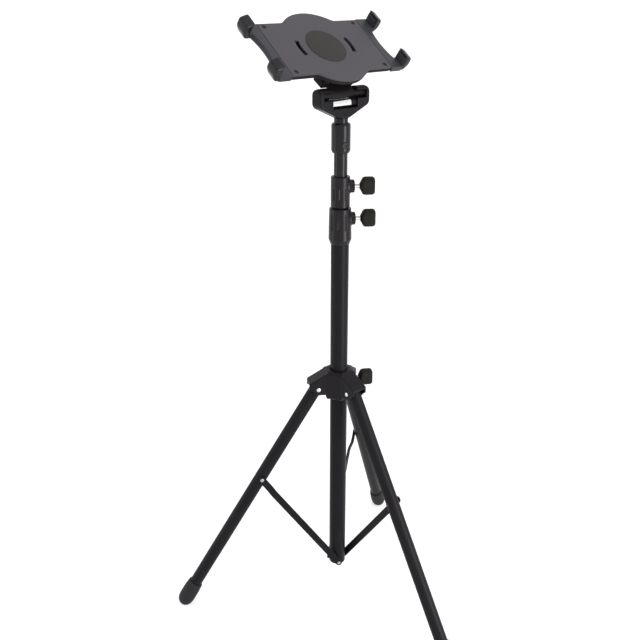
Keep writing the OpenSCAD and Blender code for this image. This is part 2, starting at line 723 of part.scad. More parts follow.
// Hub that carries the leg tops
module hub_arm() {
    rotate([90, 0, 0]) linear_extrude(2 * cheek, center = true) {
        polygon([[0, hub_z + hub_above], [hub_ring - 2, hub_z + hub_above - 1], [arm_end, hub_z + arm_tip],
                 [arm_end, hub_z], [hub_r, hub_z - arm_drop], [hub_ring + arm_step, hub_z - arm_drop],
                 [hub_ring, hub_z - hub_below], [0, hub_z - hub_below]]);
        translate([hub_r, hub_z]) circle(r = rivet_head_r + arm_land);
    }
}
module hub_web() {
    top = hub_z + hub_above;
    bottom = hub_z - hub_below;
    rotate([90, 0, 0]) linear_extrude(2 * web_half, center = true) {
        polygon([[0, top], [column_r, top], [web_r, top - web_fall], [web_r, bottom + web_fall],
                 [hub_ring, bottom], [0, bottom]]);
    }
}
module hub_slot() {
    rotate([90, 0, 0]) linear_extrude(2 * slot_half, center = true) {
        translate([hub_r, hub_z]) circle(r = slot_round);
        translate([hub_r - slot_round, hub_z - leg_d * 2]) square([arm_end, leg_d * 2]);
        translate([hub_r, hub_z - cut]) square([arm_end, cut + front_open]);
    }
}
module leg_hub() color([0.06, 0.06, 0.07]) difference() {
    union() {
        translate([0, 0, hub_z - hub_below]) cylinder(h = hub_above + hub_below, r = hub_ring);
        for (i = [0:2]) at_leg(i) {
            hub_arm();
            rotate([0, 0, 60]) hub_web();
        }
        at_clamp_hub() along_x(column_r + 2) cylinder(h = hub_boss - column_r - 2, r = boss_r);
    }
    translate([0, 0, hub_z - hub_below - cut]) cylinder(h = hub_above + hub_below + 2 * cut, r = hub_bore);
    for (i = [0:2]) at_leg(i) hub_slot();
    for (i = [0:2]) at_leg(i) translate([hub_r, 0, hub_z]) across(-2 * cheek, 4 * cheek, rivet_r + fit);
    at_clamp_hub() clamp_cuts(column_r, hub_boss);
}
module at_clamp_hub() {
    rotate([0, 0, hub_knob_angle]) translate([0, 0, hub_screw_z]) children();
}
module hub_rivets() color([0.8, 0.8, 0.82]) for (i = [0:2]) at_leg(i) translate([hub_r, 0, hub_z]) {
    rivet(-cheek - 0.1, cheek + 0.1);
    mirror([0, 1, 0]) translate([0, cheek + 0.1, 0]) rotate([-90, 0, 0]) rivet_head();
}
module hub_nut() color([0.7, 0.6, 0.35]) at_clamp_hub() clamp_nut(column_r);
module hub_pad() color([0.2, 0.2, 0.2]) at_clamp_hub() clamp_pad(column_r);
module hub_screw() color([0.75, 0.75, 0.77]) at_clamp_hub() clamp_screw(column_r, hub_boss);
module hub_knob() color([0.1, 0.1, 0.09]) at_clamp_hub() clamp_knob(hub_boss);

// One leg, drawn down -Z from its pivot, with its foot, rivet and brace
module leg(i) color([0.07, 0.07, 0.08]) at_pivot(i) difference() {
    tube(leg_r, leg_r - leg_wall, -leg_len + foot_bore, leg_head);
    across(-leg_d, 2 * leg_d, rivet_r + (i == 0 ? fit : open_play));
    translate([0, 0, -brace_on_leg]) across(-leg_d, 2 * leg_d, rivet_r + fit);
}
// Half width of the foot at a share of its length, from the rim down to the blunt tip
function foot_half(t) = t < foot_belly
    ? foot_d / 2 - foot_waist * pow(foot_belly - t, 2)
    : foot_d / 2 * sqrt(1 - pow((t - foot_belly) / foot_round, 4));
function foot_point(t) = [foot_half(t), foot_len * (1 - t)];
module foot(i) color([0.05, 0.05, 0.05]) difference() {
    at_pivot(i) difference() {
        translate([0, 0, -leg_len]) rotate_extrude() polygon(concat(
            [[0, foot_len]], [for (k = [0:foot_steps]) foot_point(k / foot_steps)], [[0, 0]]));
        translate([0, 0, -leg_len + foot_bore]) cylinder(h = foot_len, r = leg_r + fit);
    }
    translate([-leg_len, -leg_len, -leg_d]) cube([2 * leg_len, 2 * leg_len, leg_d]);
}
module leg_rivet(i) color([0.8, 0.8, 0.82]) at_pivot(i) translate([0, 0, -brace_on_leg]) {
    rivet(-leg_r - 0.1, brace_seat + brace_t + 0.1);
    mirror([0, 1, 0]) translate([0, leg_r + 0.1, 0]) rotate([-90, 0, 0]) rivet_head();
}
// Strip that stands on edge, joggled from the column's side to the leg's side
module brace(i) color([0.07, 0.07, 0.08]) at_brace(i) difference() {
    low = column_r + gap;
    over = brace_w;
    bend_start = brace_len - joggle_start;
    bend_end = brace_len - joggle_end;
    intersection() {
        rotate([90, 0, 90]) linear_extrude(brace_w, center = true) polygon([
            [low, -over], [low + brace_t, -over], [low + brace_t, bend_start],
            [brace_seat + brace_t, bend_end], [brace_seat + brace_t, brace_len + over],
            [brace_seat, brace_len + over], [brace_seat, bend_end], [low, bend_start]]);
        rotate([90, 0, 0]) linear_extrude(4 * column_d, center = true) {
            translate([-brace_w / 2, 0]) square([brace_w, brace_len]);
            circle(d = brace_w);
            translate([0, brace_len]) circle(d = brace_w);
        }
    }
    across(0, column_d, rivet_r + fit);
    translate([0, 0, brace_len]) across(0, column_d, rivet_r + fit);
}
module front_leg() leg(0);
module front_foot() foot(0);
module front_leg_rivet() leg_rivet(0);
module front_brace() brace(0);
module right_leg() leg(1);
module right_foot() foot(1);
module right_leg_rivet() leg_rivet(1);
module right_brace() brace(1);
module left_leg() leg(2);
module left_foot() foot(2);
module left_leg_rivet() leg_rivet(2);
module left_brace() brace(2);

column_tube();
column_plug();
column_rivets();
lower_collar();
lower_bush();
lower_nut();
lower_pad();
lower_screw();
lower_knob();
mid_tube();
mid_glide();
upper_collar();
upper_bush();
upper_nut();
upper_pad();
upper_screw();
upper_knob();
upper_tube();
upper_glide();
head_sleeve();
sleeve_screw();
head_yoke();
tilt_pin();
tilt_washers();
tension_bolt();
tension_nut();
swivel_bracket();
swivel_bolt();
swivel_nut();
front_plate();
rear_cover();
centre_pad();
plate_screws();
jaw_springs();
left_jaw();
left_jaw_pads();
right_jaw();
right_jaw_pads();
leg_hub();
hub_rivets();
hub_nut();
hub_pad();
hub_screw();
hub_knob();
front_leg();
front_foot();
front_leg_rivet();
front_brace();
right_leg();
right_foot();
right_leg_rivet();
right_brace();
left_leg();
left_foot();
left_leg_rivet();
left_brace();
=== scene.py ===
"""Dresses the adjustable tablet floor stand: moulded shapes, materials, light and the photograph's camera."""

import json
import math

import bpy
import numpy as np
from mathutils import Matrix, Vector
from mathutils.geometry import tessellate_polygon


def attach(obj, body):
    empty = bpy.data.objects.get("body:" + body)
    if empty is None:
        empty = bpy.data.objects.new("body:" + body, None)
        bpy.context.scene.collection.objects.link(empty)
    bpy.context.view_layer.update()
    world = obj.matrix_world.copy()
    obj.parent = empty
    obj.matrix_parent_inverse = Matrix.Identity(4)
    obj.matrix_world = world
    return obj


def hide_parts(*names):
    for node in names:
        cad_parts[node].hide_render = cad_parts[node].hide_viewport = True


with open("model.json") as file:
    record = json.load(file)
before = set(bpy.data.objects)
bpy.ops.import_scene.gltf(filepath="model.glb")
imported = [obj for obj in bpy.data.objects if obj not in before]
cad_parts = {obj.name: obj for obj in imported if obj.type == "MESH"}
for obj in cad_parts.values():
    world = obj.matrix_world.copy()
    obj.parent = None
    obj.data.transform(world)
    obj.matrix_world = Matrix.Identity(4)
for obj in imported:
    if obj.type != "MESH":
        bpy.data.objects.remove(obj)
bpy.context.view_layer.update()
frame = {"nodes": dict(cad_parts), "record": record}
nodes = frame["nodes"]

scene = bpy.context.scene
scene.view_settings.view_transform = "Standard"

# Sizes of the part in millimetres, as the CAD has them
COLUMN_R, COLUMN_BORE, COLUMN_LEN, COLUMN_TAIL = 12.7, 11.3, 561.0, 5.0
MID_R, MID_BORE, UPPER_R = 11.0, 9.6, 9.3
# Room of a slide, and the gap between faces of different bodies
FIT, GAP = 0.05, 0.3
LEG_R, LEG_LEN, SPLAY = 9.5, 426.8, 30.85
SPLAY_SIN, SPLAY_COS = math.sin(math.radians(SPLAY)), math.cos(math.radians(SPLAY))
HUB_R = 32.5
HUB_Z = LEG_LEN * SPLAY_COS
BRACE_ON_LEG, BRACE_LEN, BRACE_W, BRACE_T = 170.0, 205.0, 10.5, 2.5
BRACE_TOP_R = HUB_R + BRACE_ON_LEG * SPLAY_SIN
BRACE_LEAN = math.degrees(math.asin(BRACE_TOP_R / BRACE_LEN))
BRACE_FOOT_Z = HUB_Z - BRACE_ON_LEG * SPLAY_COS - BRACE_LEN * math.cos(math.radians(BRACE_LEAN))
COLUMN_BOTTOM = BRACE_FOOT_Z - COLUMN_TAIL
COLUMN_TOP = COLUMN_BOTTOM + COLUMN_LEN
# Collars: how far each reaches below and above its tube's end, their parting and the screws' height
LOWER_GRIP, LOWER_RISE = 25.0, 26.0
UPPER_GRIP, UPPER_RISE = 17.5, 24.7
COLLAR_PARTING, SCREW_RISE = 1.5, 10.5
LOWER_BOTTOM, LOWER_TOP = COLUMN_TOP - LOWER_GRIP, COLUMN_TOP + LOWER_RISE
LOWER_SCREW_Z = COLUMN_TOP + SCREW_RISE
MID_TOP = LOWER_TOP + COLLAR_PARTING + UPPER_GRIP
UPPER_BOTTOM, UPPER_TOP = MID_TOP - UPPER_GRIP, MID_TOP + UPPER_RISE
UPPER_SCREW_Z = MID_TOP + SCREW_RISE
# Clamp screws: end of each boss from the tube's axis, the screws' directions and the hub screw's height
LOWER_BOSS, UPPER_BOSS, HUB_BOSS = 20.7, 19.0, 22.4
MAST_CLAMP_TURN, HUB_CLAMP_TURN, HUB_SCREW_RISE = -34, -30, 9.5
BOSS_R, BOSS_EDGE, NUT_ROOM_R = 9.0, 1.3, 5.9
# Head
UPPER_SHOW, SLEEVE_LEN, SLEEVE_GRIP, NECK_LEN, YOKE_RISE = 31.8, 39.5, 23.5, 7.0, 30.0
SLEEVE_BOTTOM = UPPER_TOP + UPPER_SHOW
SLEEVE_TOP = SLEEVE_BOTTOM + SLEEVE_LEN
TUBE_TOP = SLEEVE_BOTTOM + SLEEVE_GRIP
YOKE_BOTTOM = SLEEVE_TOP + NECK_LEN
TILT_Z = YOKE_BOTTOM + YOKE_RISE
TILT_REST, CENTRE_UP, CENTRE_OUT = 52.3, 59.5, 27.0
# Holder: the plate, its screws, the hooks' places and the pads' gripping face
PLATE_L, PLATE_H, BULGE_D, PLATE_FILLET = 170, 93.5, 127, 10
SCREW_X, SCREW_Y, SWIVEL_HOLE_R = 76, 40.75, 4.06
HOOK_V, GRIP_U, GRIP_PAD_T = 38, 103.3, 1.2
LEGS = {"front": -90.0, "right": 30.0, "left": 150.0}


# Frames of the CAD, as 4x4 matrices in millimetres
def turn(axis, degrees):
    return Matrix.Rotation(math.radians(degrees), 4, axis)


def move(x, y, z):
    return Matrix.Translation((x, y, z))


def at_clamp(z, angle):
    return turn("Z", angle) @ move(0, 0, z)


def at_pivot(name):
    return turn("Z", LEGS[name]) @ move(HUB_R, 0, HUB_Z) @ turn("Y", -SPLAY)


def at_brace(name):
    return turn("Z", LEGS[name]) @ move(0, 0, BRACE_FOOT_Z) @ turn("Y", BRACE_LEAN)


HOLDER = move(0, 0, TILT_Z) @ turn("X", 90 - TILT_REST) @ move(0, CENTRE_UP, CENTRE_OUT)
LOWER_CLAMP = at_clamp(LOWER_SCREW_Z, MAST_CLAMP_TURN)
UPPER_CLAMP = at_clamp(UPPER_SCREW_Z, MAST_CLAMP_TURN)
HUB_CLAMP = at_clamp(HUB_Z + HUB_SCREW_RISE, HUB_CLAMP_TURN)
MIRROR = Matrix.Diagonal((-1, 1, 1, 1))


# Meshes: vertices in millimetres in a piece's own frame
def joined(*parts):
    verts, faces = [], []
    for v, f in parts:
        base = len(verts)
        verts += [tuple(p) for p in v]
        faces += [tuple(i + base for i in face) for face in f]
    return verts, faces


def placed(mesh, matrix):
    v, f = mesh
    out = [tuple(matrix @ Vector(p)) for p in v]
    if matrix.determinant() < 0:
        f = [tuple(reversed(face)) for face in f]
    return out, f


def lathe(profile, n=72):
    """Turned shape about Z from (radius, z) points, downwards along the outside, or a closed loop of them."""
    verts, faces, rings = [], [], []
    for r, z in profile:
        if r < 1e-6:
            rings.append([len(verts)])
            verts.append((0, 0, z))
        else:
            rings.append(range(len(verts), len(verts) + n))
            angles = [2 * math.pi * k / n for k in range(n)]
            verts += [(r * math.cos(a), r * math.sin(a), z) for a in angles]
    for a, b in zip(rings, rings[1:]):
        for k in range(n):
            j = (k + 1) % n
            if len(a) == 1 and len(b) > 1:
                faces.append((a[0], b[k], b[j]))
            elif len(b) == 1 and len(a) > 1:
                faces.append((a[k], b[0], a[j]))
            elif len(a) > 1:
                faces.append((a[k], b[k], b[j], a[j]))
    return verts, faces


def arc(cx, cy, r, a0, a1, n=6):
    return [(cx + r * math.cos(math.radians(a0 + (a1 - a0) * k / n)),
             cy + r * math.sin(math.radians(a0 + (a1 - a0) * k / n))) for k in range(n + 1)]


def curved(points, n=5):
    """Outline from (x, y, reach) corners: each is rounded over that reach along both of its sides."""
    out = []
    for i, (x, y, reach) in enumerate(points):
        if not reach:
            out.append((x, y))
            continue
        here = np.array((x, y))
        before = np.array(points[i - 1][:2]) - here
        after = np.array(points[(i + 1) % len(points)][:2]) - here
        a = here + before / np.linalg.norm(before) * reach
        b = here + after / np.linalg.norm(after) * reach
        for t in np.linspace(0, 1, n + 1):
            out.append(tuple((1 - t) ** 2 * a + 2 * t * (1 - t) * here + t * t * b))
    return out


def slab(loops, z0, z1, edge, steps=3):
    """Flat shape with rounded edges from a counter-clockwise outline and clockwise holes."""
    verts, faces, caps = [], [], []
    levels = []
    for k in range(steps + 1):
        a = math.pi / 2 * k / steps
        levels.append((edge * (1 - math.sin(a)), z0 + edge * (1 - math.cos(a))))
    levels += [(i, z0 + z1 - z) for i, z in reversed(levels)]
    for outline in loops:
        p = np.array(outline, float)
        ahead, behind = np.roll(p, -1, 0) - p, p - np.roll(p, 1, 0)
        na = np.stack([ahead[:, 1], -ahead[:, 0]], 1) / np.linalg.norm(ahead, axis=1)[:, None]
        nb = np.stack([behind[:, 1], -behind[:, 0]], 1) / np.linalg.norm(behind, axis=1)[:, None]
        out = na + nb
        out /= np.maximum(0.35, (out * na).sum(1))[:, None]
        base, n = len(verts), len(p)
        for inset, z in levels:
            verts += [(x, y, z) for x, y in p - out * inset]
        for lv in range(len(levels) - 1):
            for k in range(n):
                j = (k + 1) % n
                at = base + lv * n
                faces.append((at + k, at + j, at + n + j, at + n + k))
        caps.append((base, n))
    flat = [[Vector((*verts[base + k][:2], 0)) for k in range(n)] for base, n in caps]
    low = [base + k for base, n in caps for k in range(n)]
    high = [base + (len(levels) - 1) * n + k for base, n in caps for k in range(n)]
    for tri in tessellate_polygon(flat):
        a, b, c = (Vector(verts[low[i]][:2]) for i in tri)
        if (b - a).cross(c - a) < 0:
            tri = tuple(reversed(tri))
        faces.append(tuple(high[i] for i in tri))
        faces.append(tuple(low[i] for i in reversed(tri)))
    return verts, faces


def skin(rows, n):
    """Faces of a closed bar from rows of n corners each, with both of its ends."""
    faces = []
    for i in range(rows - 1):
        for k in range(n):
            j = (k + 1) % n
            faces.append((i * n + k, i * n + j, (i + 1) * n + j, (i + 1) * n + k))
    faces.append(tuple(reversed(range(n))))
    faces.append(tuple(range((rows - 1) * n, rows * n)))
    return faces


def swept(path, r, n=8):
    """Round wire of radius r along a list of points."""
    p = [Vector(q) for q in path]
    verts = []
    up = Vector((0.3, 0.5, 0.8)).normalized()
    for i, q in enumerate(p):
        t = (p[min(i + 1, len(p) - 1)] - p[max(i - 1, 0)]).normalized()
        a = t.cross(up).normalized()
        b = t.cross(a)
        up = -b if b.dot(up) < 0 else b
        angles = [2 * math.pi * k / n for k in range(n)]
        verts += [tuple(q + r * (math.cos(w) * a + math.sin(w) * b)) for w in angles]
    return verts, skin(len(p), n)


# Moulded shapes: a distance field, negative inside, and the smooth surface where it is zero
def d_box(p, centre, half, r=0.0):
    q = np.abs(p - np.array(centre)) - np.array(half) + r
    return np.linalg.norm(np.maximum(q, 0), axis=1) + np.minimum(q.max(1), 0) - r


def d_rod(p, a, b, radius, r=0.0):
    """Cylinder from point a to point b with edges rounded by r."""
    a, b = np.array(a, float), np.array(b, float)
    length = np.linalg.norm(b - a)
    n = (b - a) / length
    along = (p - a) @ n
    out = np.linalg.norm(p - a - along[:, None] * n, axis=1)
    q = np.stack([out - radius + r, np.abs(along - length / 2) - length / 2 + r], 1)
    return np.linalg.norm(np.maximum(q, 0), axis=1) + np.minimum(q.max(1), 0) - r


def d_outline(x, y, points):
    """Distance to a closed outline in a plane."""
    pts = np.array(points, float)
    best = np.full(len(x), 1e9)
    inside = np.zeros(len(x), bool)
    for (ax, ay), (bx, by) in zip(pts, np.roll(pts, -1, 0)):
        ex, ey = bx - ax, by - ay
        wx, wy = x - ax, y - ay
        t = np.clip((wx * ex + wy * ey) / (ex * ex + ey * ey), 0, 1)
        best = np.minimum(best, (wx - ex * t) ** 2 + (wy - ey * t) ** 2)
        if abs(ey) > 1e-9:
            inside ^= ((ay <= y) != (by <= y)) & (x < ax + (y - ay) * ex / ey)
    return np.where(inside, -1, 1) * np.sqrt(best)


def both(a, b, k=0.0):
    """Where both are inside, with the edge between them rounded by about k."""
    if k <= 0:
        return np.maximum(a, b)
    u, v = np.maximum(k + a, 0), np.maximum(k + b, 0)
    return np.minimum(-k, np.maximum(a, b)) + np.sqrt(u * u + v * v)


def either(a, b, k=0.0):
    return -both(-a, -b, k)


def without(a, b, k=0.0):
    return both(a, -b, k)


def moulded(field, lo, hi, step):
    """Quads on the zero surface of a field, with their corners moved onto it."""
    lo = np.array(lo, float)
    n = np.ceil((np.array(hi, float) - lo) / step).astype(int) + 1
    axes = [lo[k] + step * np.arange(n[k]) for k in range(3)]
    points = np.stack(np.meshgrid(*axes, indexing="ij"), -1).reshape(-1, 3)
    d = field(points).reshape(n)
    corner = {(i, j, k): d[i:n[0] - 1 + i, j:n[1] - 1 + j, k:n[2] - 1 + k]
              for i in (0, 1) for j in (0, 1) for k in (0, 1)}
    low = np.minimum.reduce(list(corner.values()))
    high = np.maximum.reduce(list(corner.values()))
    cells = np.argwhere((low < 0) & (high >= 0))
    index = np.full(n - 1, -1)
    pick = tuple(cells.T)
    index[pick] = np.arange(len(cells))
    total, count = np.zeros((len(cells), 3)), np.zeros(len(cells))
    for a in corner:
        for axis in range(3):
            if a[axis]:
                continue
            b = tuple(1 if m == axis else a[m] for m in range(3))
            da, db = corner[a][pick], corner[b][pick]
            cross = (da < 0) != (db < 0)
            t = np.where(cross, da / np.where(cross, da - db, 1), 0)
            spot = np.array(a, float) + np.outer(t, np.eye(3)[axis])
            total[cross] += spot[cross]
            count[cross] += 1
    verts = lo + (cells + total / count[:, None]) * step
    e = 0.02
    for _ in range(4):
        here = field(verts)
        slope = np.stack([field(verts + e * v) - field(verts - e * v) for v in np.eye(3)], 1) / (2 * e)
        size = np.maximum((slope ** 2).sum(1), 0.25)
        verts = verts - np.clip(here / size, -step / 2, step / 2)[:, None] * slope
    faces = []
    for axis in range(3):
        u, v = (axis + 1) % 3, (axis + 2) % 3
        a = d[tuple(slice(0, n[m] - 1) if m == axis else slice(1, n[m] - 1) for m in range(3))]
        b = d[tuple(slice(1, n[m]) if m == axis else slice(1, n[m] - 1) for m in range(3))]
        for flip, hit in ((False, (a < 0) & (b >= 0)), (True, (a >= 0) & (b < 0))):
            at = np.argwhere(hit)
            if not len(at):
                continue
            at[:, u] += 1
            at[:, v] += 1
            quad = []
            for du, dv in ((1, 1), (0, 1), (0, 0), (1, 0)):
                c = at.copy()
                c[:, u] -= du
                c[:, v] -= dv
                quad.append(index[tuple(c.T)])
            quad = np.stack(quad, 1)
            faces.append(quad[:, ::-1] if flip else quad)
    return [tuple(p) for p in verts], [tuple(int(i) for i in f) for f in np.concatenate(faces)]


def piece(name, mesh, body, finish, *replaced, matrix=None, sharp=35, coat=None, flat=False):
    """One object of the dressed part, in metres, riding on a body."""
    v, f = placed(mesh, matrix) if matrix is not None else mesh
    data = bpy.data.meshes.new(name)
    data.from_pydata([(x * 0.001, y * 0.001, z * 0.001) for x, y, z in v], [], f)
    data.validate()
    data.polygons.foreach_set("use_smooth", [True] * len(data.polygons))
    data.set_sharp_from_angle(angle=math.radians(sharp))
    data.materials.append(coat or MAT[finish])
    o = bpy.data.objects.new(name, data)
    scene.collection.objects.link(o)
    if flat:
        even = o.modifiers.new("even", "WEIGHTED_NORMAL")
        even.keep_sharp = True
    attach(o, body)
    if replaced:
        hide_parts(*replaced)
    return o


# Materials
def material(name, color, rough, metal=0.0, tint=0.25, grain=900.0, bump=0.08, spread=0.08, spec=0.5):
    """A surface with fine grain, uneven gloss and slow changes of tone, from noise in its own space."""
    slow_share, fine_share = 0.55, 0.45
    dark_end, pale_end = 0.3, 0.7
    m = bpy.data.materials.new(name)
    m.use_nodes = True
    t = m.node_tree
    b = t.nodes["Principled BSDF"]
    b.inputs["Metallic"].default_value = metal
    b.inputs["Specular IOR Level"].default_value = spec
    where = t.nodes.new("ShaderNodeTexCoord")
    slow = t.nodes.new("ShaderNodeTexNoise")
    slow.inputs["Scale"].default_value = 22.0
    slow.inputs["Detail"].default_value = 4.0
    fine = t.nodes.new("ShaderNodeTexNoise")
    fine.inputs["Scale"].default_value = grain
    fine.inputs["Detail"].default_value = 3.0
    for n in (slow, fine):
        t.links.new(where.outputs["Object"], n.inputs["Vector"])
    tone = t.nodes.new("ShaderNodeValToRGB")
    dark, pale = tone.color_ramp.elements
    dark.position, pale.position = dark_end, pale_end
    dark.color = (*[c * (1 - tint) for c in color], 1)
    pale.color = (*[min(1, c * (1 + tint)) for c in color], 1)
    mixed = t.nodes.new("ShaderNodeMath")
    mixed.operation = "MULTIPLY_ADD"
    mixed.inputs[1].default_value = fine_share
    t.links.new(fine.outputs["Fac"], mixed.inputs[0])
    scaled = t.nodes.new("ShaderNodeMath")
    scaled.operation = "MULTIPLY"
    scaled.inputs[1].default_value = slow_share
    t.links.new(slow.outputs["Fac"], scaled.inputs[0])
    t.links.new(scaled.outputs[0], mixed.inputs[2])
    t.links.new(mixed.outputs[0], tone.inputs["Fac"])
    t.links.new(tone.outputs["Color"], b.inputs["Base Color"])
    gloss = t.nodes.new("ShaderNodeMapRange")
    gloss.inputs["From Min"].default_value = dark_end
    gloss.inputs["From Max"].default_value = pale_end
    gloss.inputs["To Min"].default_value = max(0.02, rough - spread)
    gloss.inputs["To Max"].default_value = min(1.0, rough + spread)
    t.links.new(mixed.outputs[0], gloss.inputs["Value"])
    t.links.new(gloss.outputs["Result"], b.inputs["Roughness"])
    relief = t.nodes.new("ShaderNodeBump")
    relief.inputs["Strength"].default_value = bump
    relief.inputs["Distance"].default_value = 0.0002
    t.links.new(fine.outputs["Fac"], relief.inputs["Height"])
    t.links.new(relief.outputs["Normal"], b.inputs["Normal"])
    return m


MAT = {
    "satin_black": material("satin_black", (0.0092, 0.0082, 0.0098), 0.4, grain=1400, bump=0.1, spec=0.085),
    "black_plastic": material("black_plastic", (0.0098, 0.0080, 0.0090),
                              0.42, grain=1800, bump=0.18, spec=0.1),
    "knob_plastic": material("knob_plastic", (0.0085, 0.0072, 0.0058),
                             0.55, grain=1800, bump=0.25, spec=0.15),
    "plate_grey": material("plate_grey", (0.060, 0.0540, 0.0640),
                           0.55, tint=0.06, grain=2600, bump=0.2, spec=0.24),
    "pad_brown": material("pad_brown", (0.034, 0.0298, 0.0296),
                          0.8, tint=0.1, grain=2200, bump=0.35, spec=0.24),
    "jaw_blue_grey": material("jaw_blue_grey", (0.0380, 0.0385, 0.0470),
                              0.32, tint=0.12, grain=2000, bump=0.1, spec=0.18),
    "rubber": material("rubber", (0.014, 0.0135, 0.017), 0.72, grain=1600, bump=0.4, spec=0.25),
    "steel": material("steel", (0.62, 0.62, 0.63), 0.28, metal=1.0, tint=0.08, grain=1200, bump=0.06),
    "chrome": material("chrome", (0.86, 0.86, 0.87),
                       0.12, metal=1.0, tint=0.04, grain=700, bump=0.02, spread=0.05),
    "brass": material("brass", (0.62, 0.45, 0.19), 0.3, metal=1.0, tint=0.1, grain=1200, bump=0.06),
    "nylon": material("nylon", (0.62, 0.61, 0.56), 0.5, tint=0.06, grain=1500, bump=0.1),
}
# The upper tube, the sleeve and the yoke's neck have the tubes' coat, polished brighter
POLISHED = material("satin_black_polished", (0.0055, 0.0043, 0.0058),
                    0.22, grain=1400, bump=0.06, spec=0.24)
# Collars glossier than the other mouldings, grip pads paler than the feet, and the hooks' coat a darker copy
# of the jaws' plastic: painted shade for hooks that face away from the light
COLLAR_COAT = material("collar_plastic", (0.0070, 0.0055, 0.0068), 0.28, grain=1800, bump=0.15, spec=0.2)
PAD_COAT = material("pad_rubber", (0.03, 0.029, 0.034), 0.7, grain=1600, bump=0.4, spec=0.2)
HUB_COAT = material("hub_plastic", (0.0085, 0.0073, 0.0088), 0.38, grain=1800, bump=0.18, spec=0.12)
HOOK_SHADE_COAT = material("hook_plastic_painted_shade", (0.0130, 0.0132, 0.0160),
                     0.26, tint=0.12, grain=2000, bump=0.1, spec=0.24)
RIVET_STEEL = material("rivet_steel", (0.36, 0.36, 0.37), 0.3, metal=1.0, tint=0.08, grain=1200, bump=0.06)
DARK_SCREW = material("dark_screw", (0.016, 0.0145, 0.016),
                      0.4, metal=0.3, grain=1200, bump=0.06, spec=0.25)
OWN_COAT = {"upper_tube": POLISHED, "sleeve_screw": DARK_SCREW}
for part in frame["record"]["subparts"]:
    o = nodes[part["node"]]
    o.data.materials.clear()
    o.data.materials.append(OWN_COAT.get(part["node"], MAT[part["material_slot"]]))
    o.data.polygons.foreach_set("use_smooth", [True] * len(o.data.polygons))
    o.data.set_sharp_from_angle(angle=math.radians(28))


# Clamp collars, in the frame of their screw: X along the screw, Z up
def groove(p, angle, radius, z0, z1, r):
    a = math.radians(angle)
    flat = np.hypot(p[:, 0] - radius * math.cos(a), p[:, 1] - radius * math.sin(a))
    return np.hypot(flat, np.maximum(np.maximum(z0 - p[:, 2], p[:, 2] - z1), 0)) - r


def collar(profile, boss_end, tube_r, inner_r, lip_z, flutes, flute_r):
    heights, radii = [z for r, z in profile], [r for r, z in profile]

    def field(p):
        r = np.hypot(p[:, 0], p[:, 1])
        z = p[:, 2]
        f = both(both(r - np.interp(z, heights, radii), z - heights[-1], 1.2), heights[0] - z, 0.8)
        f = either(f, d_rod(p, (6, 0, 0), (boss_end, 0, 0), BOSS_R, BOSS_EDGE), 2.0)
        f = without(f, either(both(r - tube_r, z - lip_z), r - inner_r), 0.3)
        f = without(f, d_rod(p, (0, 0, 0), (inner_r + 6, 0, 0), 4.3), 0.2)
        f = without(f, d_rod(p, (inner_r + 5.95, 0, 0), (boss_end + 9, 0, 0), NUT_ROOM_R), 0.4)
        for angle, z0, z1 in flutes:
            f = without(f, groove(p, angle, flute_r + 0.7, z0, z1, 1.7), 0.3)
        return f

    reach = max(radii) + 1
    return moulded(field, (-reach, -reach, heights[0] - 1), (boss_end + 1, reach, heights[-1] + 1), 0.8)


low, high = LOWER_BOTTOM - LOWER_SCREW_Z, LOWER_TOP - LOWER_SCREW_Z
flutes = [(a, high - 28, high - 8) for a in (-142.8, -104.8, -66.9, 143, 105, 180)]
profile = [(13.5, low), (16.1, low + 7), (15.2, high)]
lower = collar(profile, LOWER_BOSS, COLUMN_R + FIT, COLUMN_BORE, high - 2, flutes, 15.6)
piece("lower_collar_body", lower, "column", "black_plastic", "lower_collar", matrix=LOWER_CLAMP, sharp=50,
      coat=COLLAR_COAT)
low, high = UPPER_BOTTOM - UPPER_SCREW_Z, UPPER_TOP - UPPER_SCREW_Z
flutes = [(a, high - 30, high - 17) for a in (-137, -99, -61, 143, 105, 180)]
profile = [(13.25, low), (13.25, high)]
upper = collar(profile, UPPER_BOSS, MID_R + FIT, MID_BORE, high - 2, flutes, 13.25)
piece("upper_collar_body", upper, "mid_stage", "black_plastic", "upper_collar", matrix=UPPER_CLAMP, sharp=50,
      coat=COLLAR_COAT)


# Wing knob, X along the screw from the knob's near end
def knob_field(p):
    r = np.hypot(p[:, 1], p[:, 2])
    edge = 0.6
    outline = [(-9, edge), (3.4, edge), (11.0, 5.0), (12.8, 7.6), (12.8, 17.6), (10.2, 20.2), (-9, 20.2)]
    turned = d_outline(r, p[:, 0], outline) - edge
    paddle = np.hypot(np.maximum(np.abs(p[:, 2]) - 5.0, 0), p[:, 1]) - 7.9
    return both(turned, paddle, 1.8)


knob = moulded(knob_field, (-0.8, -9, -14.5), (21.8, 9, 14.5), 0.8)


def threaded(start, end, r, pitch):
    """Screw along X with a thread of the given pitch."""
    n, steps = 24, int((end - start) / pitch * 4)
    depth, chamfer = 0.32, 0.5
    verts = []
    for i in range(steps + 1):
        x = start + (end - start) * i / steps
        for k in range(n):
            turns = (x / pitch - k / n) % 1
            rr = r - (chamfer if i in (0, steps) else depth * abs(2 * turns - 1))
            a = 2 * math.pi * k / n
            verts.append((x, rr * math.cos(a), rr * math.sin(a)))
    return verts, skin(steps + 1, n)


